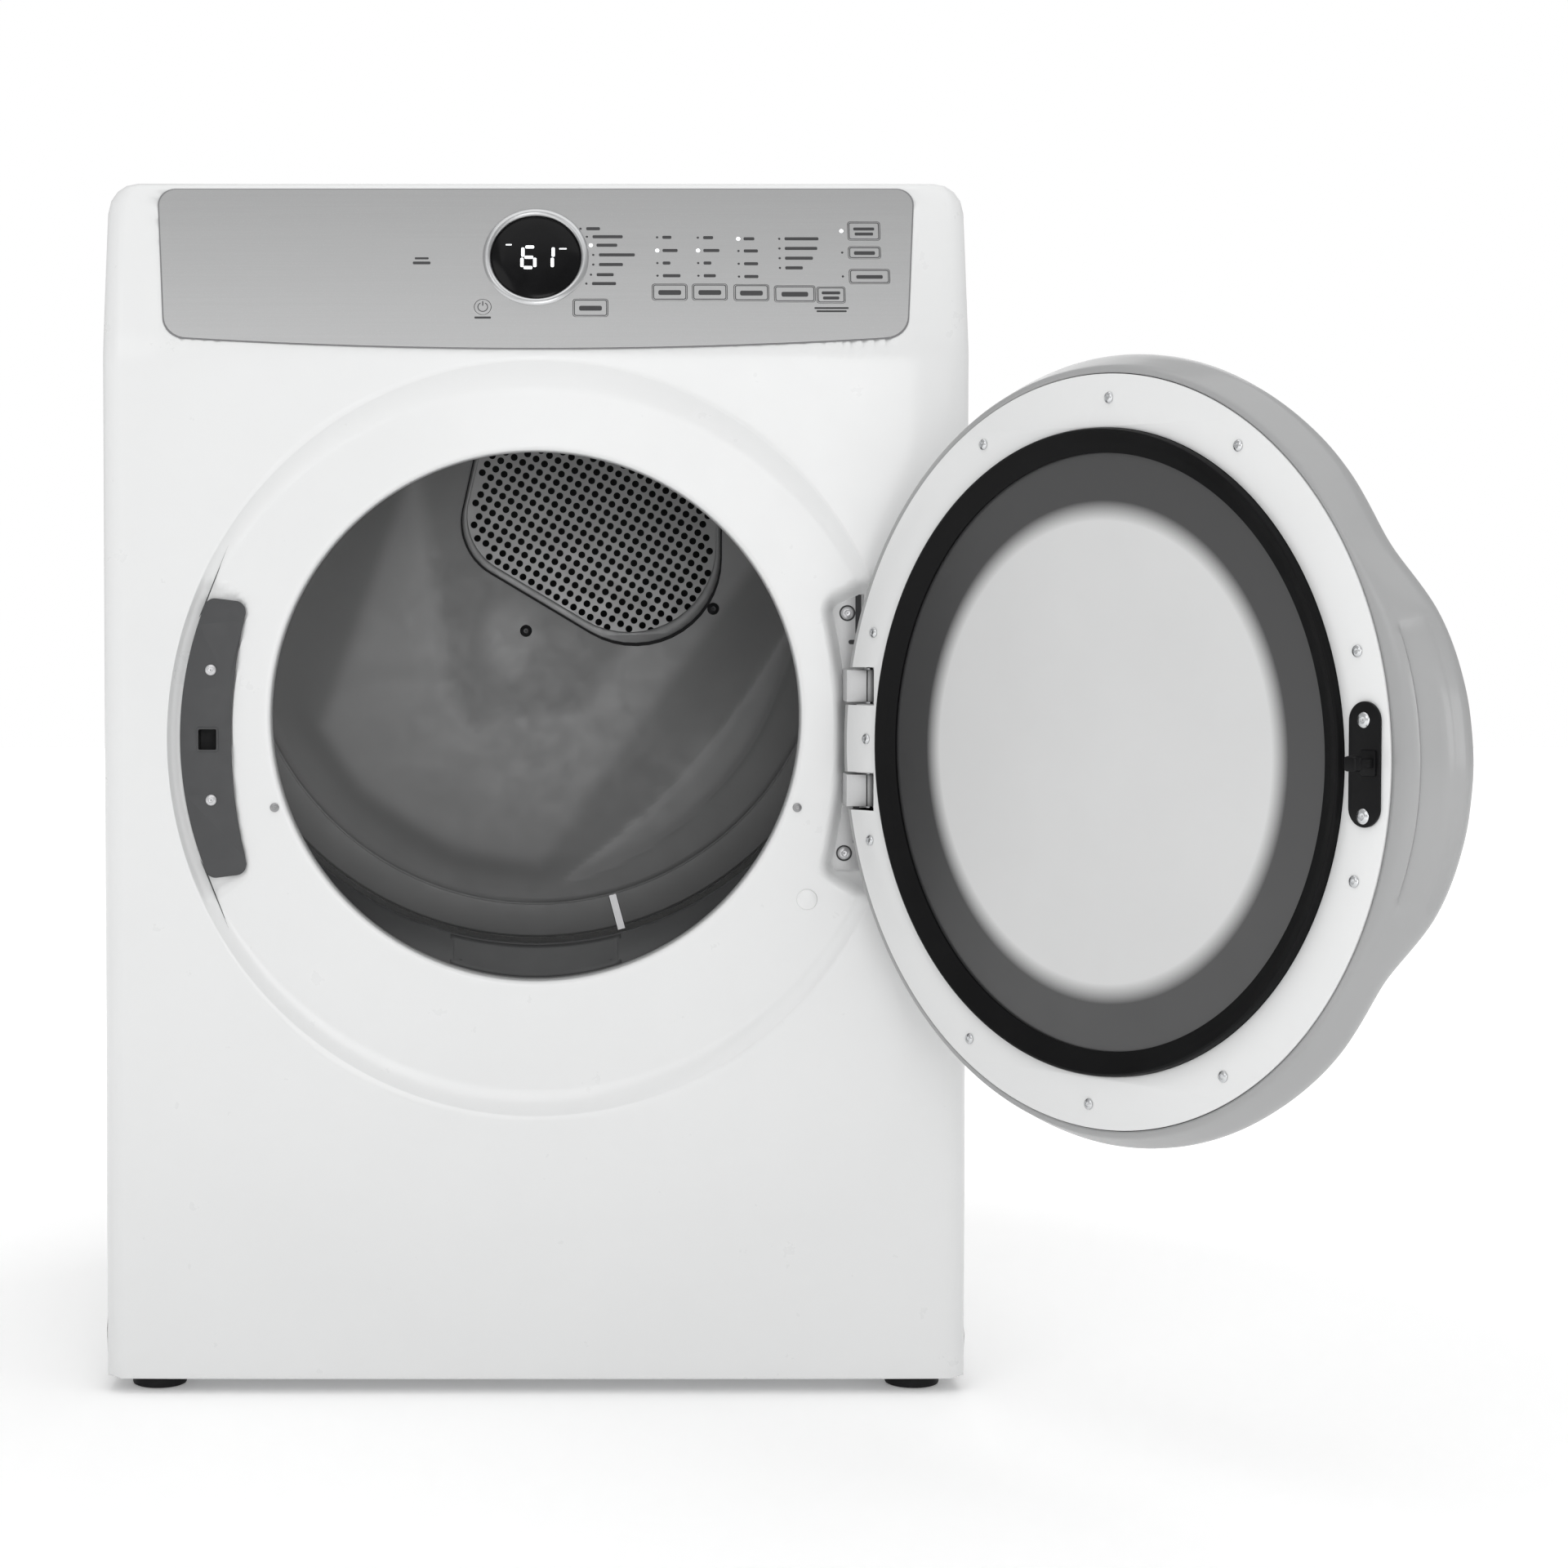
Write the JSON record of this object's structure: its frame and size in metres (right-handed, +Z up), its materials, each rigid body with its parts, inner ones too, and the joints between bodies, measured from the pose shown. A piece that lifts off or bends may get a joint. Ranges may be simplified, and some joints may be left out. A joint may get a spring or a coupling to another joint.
{
  "type": "clothes dryer",
  "caption": "Front-loading clothes dryer with a round side-hinged door standing open, a tumbling drum, a sloping control console and a lift-out lint filter.",
  "frame": {"origin": "on the floor, under the middle of the footprint with the door standing open as stored", "axes": "+X to the right seen from the front, +Y to the back, +Z up"},
  "size_m": [0.9492, 1.1958, 0.966],
  "materials": {
    "white_enamel": "gloss white enamel",
    "silver_console": "silver painted plastic",
    "black_gloss": "black gloss",
    "chrome_trim": "bright",
    "drum_grey": "grey powder coat",
    "galvanised": "galvanised",
    "dark_plastic": "dark moulded",
    "latch_grey": "dark grey moulded",
    "rubber_black": "black rubber",
    "door_white": "white moulded",
    "door_glass": "tinted clear",
    "board_green": "circuit board"
  },
  "bodies": {
    "cabinet": {"front_panel": "white_enamel", "side_panel_left": "white_enamel", "side_panel_right": "white_enamel", "top_panel": "white_enamel", "rear_panel": "galvanised", "base_pan": "galvanised", "console_housing": "white_enamel", "console_fascia": "silver_console", "display_bezel": "chrome_trim", "display_lens": "black_gloss", "control_board": "board_green", "latch_plate": "latch_grey", "hinge_bracket": "galvanised", "hinge_pin": "chrome_trim", "front_bulkhead": "drum_grey", "moisture_sensor_bar": "chrome_trim", "lint_duct": "dark_plastic", "rear_bulkhead": "drum_grey", "inlet_grille": "drum_grey", "heater_box": "galvanised", "motor": "galvanised", "motor_bracket": "galvanised", "blower_housing": "dark_plastic", "exhaust_duct": "galvanised", "drive_belt": "rubber_black", "idler_bracket": "galvanised", "terminal_cover": "galvanised"},
    "door": {"door_shell": "door_white", "door_inner_panel": "door_white", "door_seal": "rubber_black", "door_window_inner": "door_glass", "door_window_outer": "door_glass", "strike_plate": "dark_plastic", "door_hinge_leaf": "galvanised"},
    "drum": {"drum": "drum_grey", "drum_vane_1": "dark_plastic", "drum_vane_2": "dark_plastic"},
    "roller_left": {"drum_roller_left": "rubber_black"},
    "roller_right": {"drum_roller_right": "rubber_black"},
    "rotor": {"motor_shaft": "galvanised", "blower_wheel": "dark_plastic"},
    "idler_arm": {"idler_arm": "galvanised"},
    "idler_pulley": {"idler_pulley": "dark_plastic"},
    "lint_filter": {"lint_filter": "dark_plastic"},
    "latch_catch": {"latch_catch": "dark_plastic"},
    "key_cycles": {"key_cycles": "silver_console"},
    "key_temperature": {"key_temperature": "silver_console"},
    "key_level": {"key_level": "silver_console"},
    "key_time": {"key_time": "silver_console"},
    "key_options": {"key_options": "silver_console"},
    "key_select": {"key_select": "silver_console"},
    "key_start": {"key_start": "silver_console"},
    "key_cancel": {"key_cancel": "silver_console"},
    "key_add_time": {"key_add_time": "silver_console"},
    "key_power": {"key_power": "silver_console"},
    "foot_front_left": {"foot_front_left": "rubber_black"},
    "foot_front_right": {"foot_front_right": "rubber_black"},
    "foot_rear_left": {"foot_rear_left": "rubber_black"},
    "foot_rear_right": {"foot_rear_right": "rubber_black"}
  },
  "joints": [
    {"name": "door_hinge", "type": "hinge", "parent": "cabinet", "child": "door", "pos_m": [0.12968, -0.1341, 0.524], "axis": [0, 0, 1], "range_deg": [-125.1, 3]},
    {"name": "drum_spin", "type": "hinge", "parent": "cabinet", "child": "drum", "pos_m": [-0.13162, 0.2159, 0.626], "axis": [0, 1, 0], "continuous": true},
    {"name": "roller_left_spin", "type": "hinge", "parent": "cabinet", "child": "roller_left", "pos_m": [-0.30152, 0.4699, 0.30646], "axis": [0, 1, 0], "continuous": true},
    {"name": "roller_right_spin", "type": "hinge", "parent": "cabinet", "child": "roller_right", "pos_m": [0.03829, 0.4699, 0.30646], "axis": [0, 1, 0], "continuous": true},
    {"name": "rotor_spin", "type": "hinge", "parent": "cabinet", "child": "rotor", "pos_m": [-0.20661, 0.0859, 0.15], "axis": [0, 1, 0], "continuous": true},
    {"name": "idler_arm_swing", "type": "hinge", "parent": "cabinet", "child": "idler_arm", "pos_m": [-0.11487, 0.2629, 0.045], "axis": [0, 1, 0], "range_deg": [0, 6], "stiffness_Nm_per_rad": 2, "springref_deg": -11.46},
    {"name": "idler_pulley_spin", "type": "hinge", "parent": "idler_arm", "child": "idler_pulley", "pos_m": [-0.13487, 0.2509, 0.1576], "axis": [0, 1, 0], "continuous": true},
    {"name": "lint_filter_lift", "type": "slide", "parent": "cabinet", "child": "lint_filter", "axis": [0, 0, 1], "range_m": [0, 0.13]},
    {"name": "latch_catch_slide", "type": "slide", "parent": "cabinet", "child": "latch_catch", "axis": [1, 0, 0], "range_m": [0, 0.004], "stiffness_N_per_m": 300, "springref_m": -0.001},
    {"name": "key_cycles_press", "type": "slide", "parent": "cabinet", "child": "key_cycles", "axis": [0, 0.9455, -0.3256], "range_m": [0, 0.0008], "stiffness_N_per_m": 400, "springref_m": -0.0005},
    {"name": "key_temperature_press", "type": "slide", "parent": "cabinet", "child": "key_temperature", "axis": [0, 0.9455, -0.3256], "range_m": [0, 0.0008], "stiffness_N_per_m": 400, "springref_m": -0.0005},
    {"name": "key_level_press", "type": "slide", "parent": "cabinet", "child": "key_level", "axis": [0, 0.9455, -0.3256], "range_m": [0, 0.0008], "stiffness_N_per_m": 400, "springref_m": -0.0005},
    {"name": "key_time_press", "type": "slide", "parent": "cabinet", "child": "key_time", "axis": [0, 0.9455, -0.3256], "range_m": [0, 0.0008], "stiffness_N_per_m": 400, "springref_m": -0.0005},
    {"name": "key_options_press", "type": "slide", "parent": "cabinet", "child": "key_options", "axis": [0, 0.9455, -0.3256], "range_m": [0, 0.0008], "stiffness_N_per_m": 400, "springref_m": -0.0005},
    {"name": "key_select_press", "type": "slide", "parent": "cabinet", "child": "key_select", "axis": [0, 0.9455, -0.3256], "range_m": [0, 0.0008], "stiffness_N_per_m": 400, "springref_m": -0.0005},
    {"name": "key_start_press", "type": "slide", "parent": "cabinet", "child": "key_start", "axis": [0, 0.9455, -0.3256], "range_m": [0, 0.0008], "stiffness_N_per_m": 400, "springref_m": -0.0005},
    {"name": "key_cancel_press", "type": "slide", "parent": "cabinet", "child": "key_cancel", "axis": [0, 0.9455, -0.3256], "range_m": [0, 0.0008], "stiffness_N_per_m": 400, "springref_m": -0.0005},
    {"name": "key_add_time_press", "type": "slide", "parent": "cabinet", "child": "key_add_time", "axis": [0, 0.9455, -0.3256], "range_m": [0, 0.0008], "stiffness_N_per_m": 400, "springref_m": -0.0005},
    {"name": "key_power_press", "type": "slide", "parent": "cabinet", "child": "key_power", "axis": [0, 0.9455, -0.3256], "range_m": [0, 0.0008], "stiffness_N_per_m": 400, "springref_m": -0.0005},
    {"name": "foot_front_left_level", "type": "slide", "parent": "cabinet", "child": "foot_front_left", "axis": [0, 0, -1], "range_m": [0, 0.015]},
    {"name": "foot_front_right_level", "type": "slide", "parent": "cabinet", "child": "foot_front_right", "axis": [0, 0, -1], "range_m": [0, 0.015]},
    {"name": "foot_rear_left_level", "type": "slide", "parent": "cabinet", "child": "foot_rear_left", "axis": [0, 0, -1], "range_m": [0, 0.015]},
    {"name": "foot_rear_right_level", "type": "slide", "parent": "cabinet", "child": "foot_rear_right", "axis": [0, 0, -1], "range_m": [0, 0.015]}
  ],
  "couplings": [
    {"joint": "roller_left_spin", "follows": "drum_spin", "ratio": -8.5132},
    {"joint": "roller_right_spin", "follows": "drum_spin", "ratio": -8.5132},
    {"joint": "rotor_spin", "follows": "drum_spin", "ratio": 22.31},
    {"joint": "idler_pulley_spin", "follows": "drum_spin", "ratio": -13.479}
  ]
}
